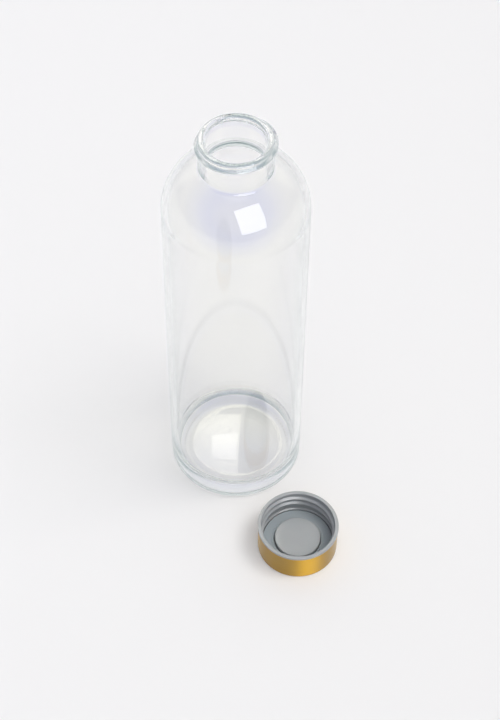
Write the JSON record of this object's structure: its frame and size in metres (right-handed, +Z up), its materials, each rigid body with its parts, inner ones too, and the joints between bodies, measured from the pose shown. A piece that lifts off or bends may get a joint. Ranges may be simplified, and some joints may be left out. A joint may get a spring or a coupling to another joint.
{
  "type": "glass water bottle",
  "caption": "Straight clear glass water bottle with a round shoulder and threaded neck, and its gold metal screw cap with grey liner and silicone seal lying open beside it.",
  "frame": {"origin": "centre of the bottle's foot, on the surface it stands on", "axes": "+Z up along the bottle's axis, +X to the right and +Y to the back, with the cap lying to the front right"},
  "size_m": [0.0923, 0.1169, 0.2336],
  "materials": {
    "soda_lime_glass": "clear, fire-polished, with a faint pearly lustre",
    "gold_anodised_aluminium": "gold anodised, finely brushed round the cap",
    "grey_polypropylene": "moulded, satin",
    "grey_silicone": "moulded, matt"
  },
  "bodies": {
    "bottle": {"glass_bottle": "soda_lime_glass"},
    "seal": {"cap_seal": "grey_silicone"},
    "cap": {"cap_liner": "grey_polypropylene", "cap_shell": "gold_anodised_aluminium"}
  },
  "joints": [
    {"name": "cap_flip", "type": "hinge", "parent": "bottle", "child": "seal", "pos_m": [0.01813, -0.03042, 0.12623], "axis": [-0.859, -0.512, 0], "range_deg": [0, 180]},
    {"name": "cap_turn", "type": "hinge", "parent": "seal", "child": "cap", "pos_m": [0.03626, -0.06083, 0], "axis": [0, 0, 1], "range_deg": [0, 540]}
  ]
}
